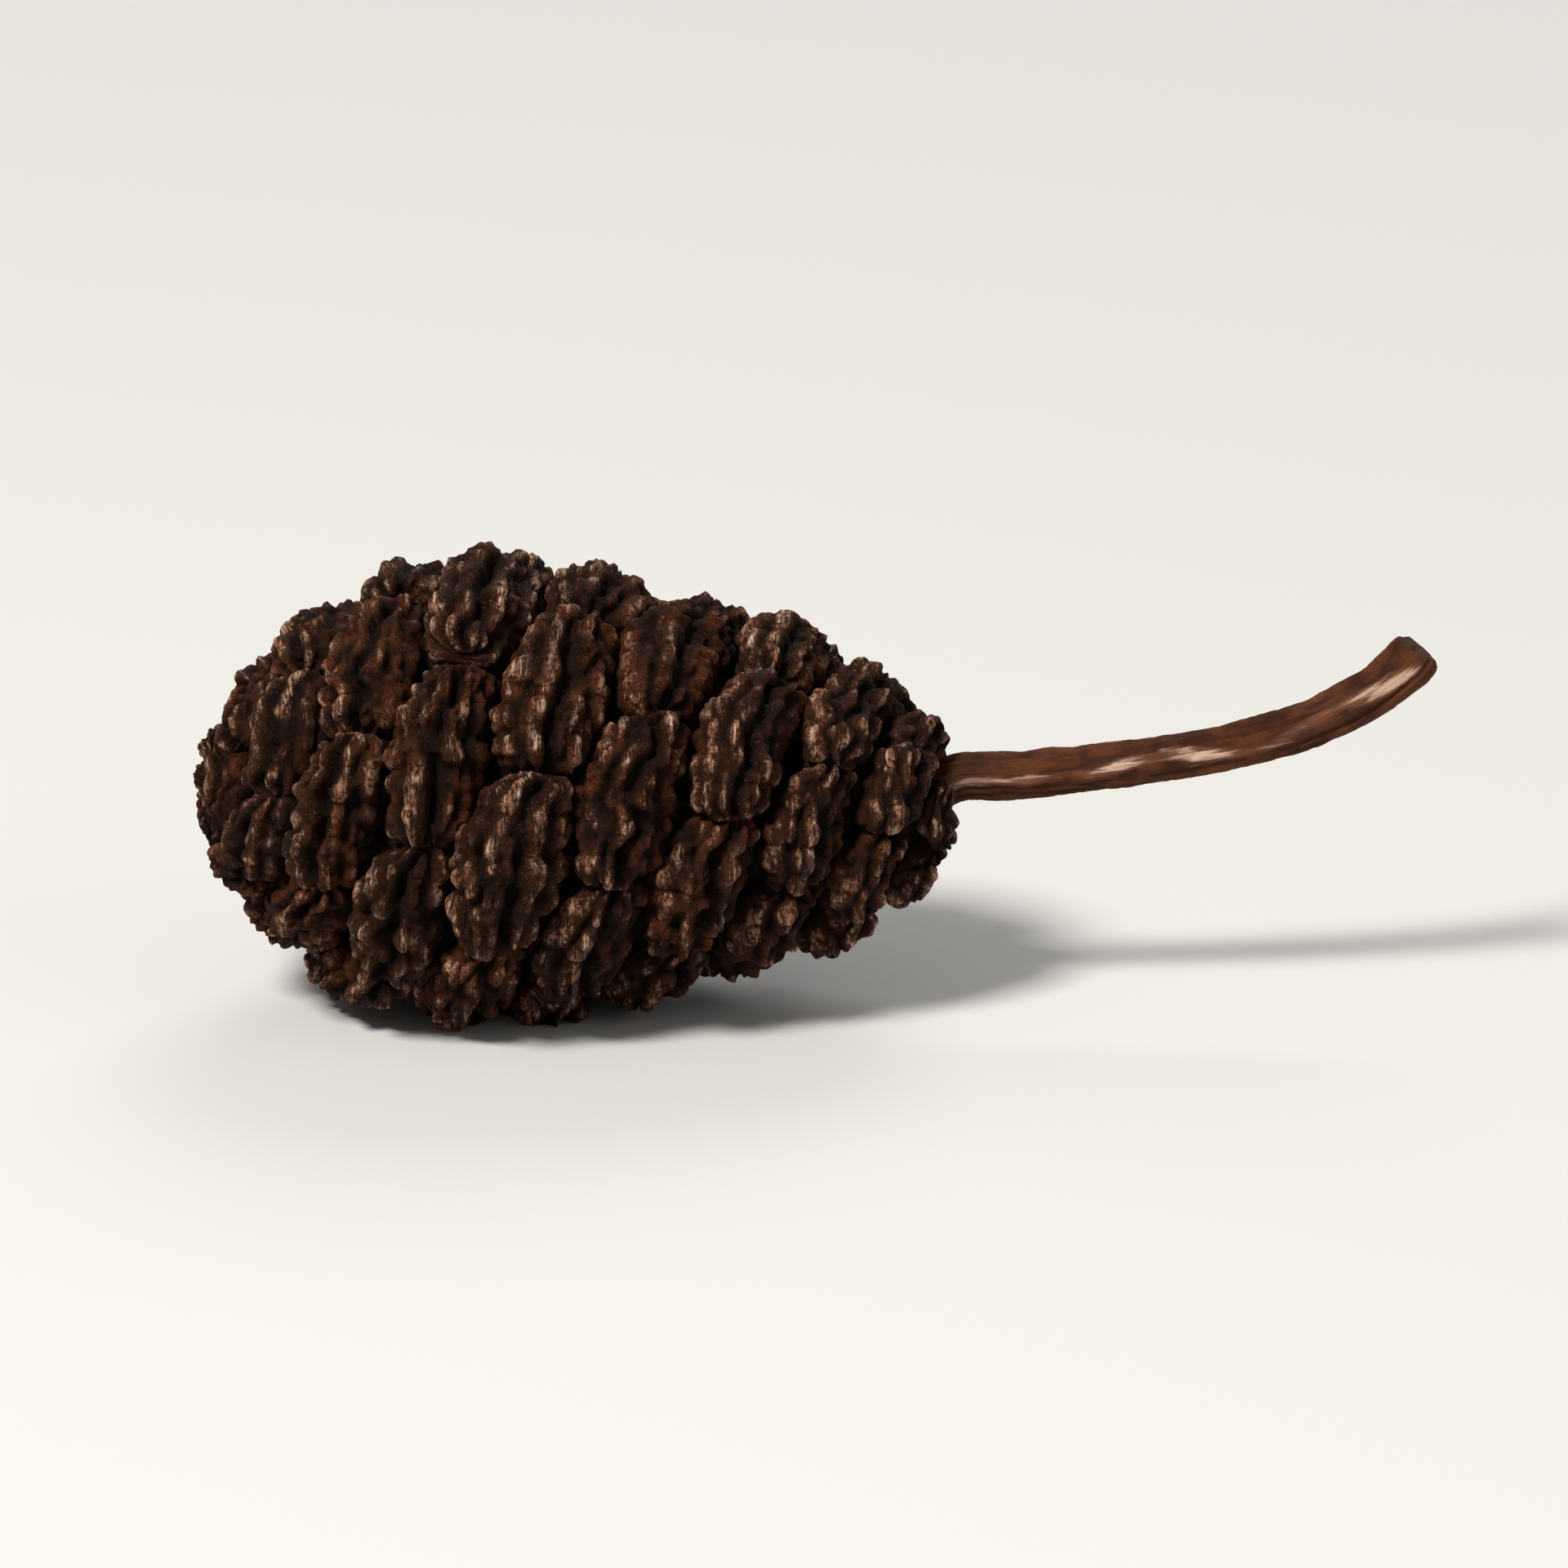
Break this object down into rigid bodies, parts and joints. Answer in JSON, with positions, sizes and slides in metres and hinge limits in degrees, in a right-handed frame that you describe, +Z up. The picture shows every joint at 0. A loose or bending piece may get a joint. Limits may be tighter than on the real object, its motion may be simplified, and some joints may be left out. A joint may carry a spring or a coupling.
{
  "type": "alder cone",
  "caption": "Woody alder cone lying on its side: a spiral of lobed scales packed close on one axis, with a thin stalk that curves upwards.",
  "frame": {"origin": "on the surface that the cone lies on, under the middle of the lowest scale's lip", "axes": "+X along the length, towards the free end of the stalk; the cone's tip points to -X; +Z up"},
  "size_m": [0.0306, 0.012, 0.0116],
  "materials": {
    "cone_scales": "dry, rough, very dark brown wood",
    "stalk": "dry reddish brown bark with fine ridges along it"
  },
  "bodies": {
    "root": {"cone_scales": "cone_scales", "stalk": "stalk"}
  },
  "joints": []
}
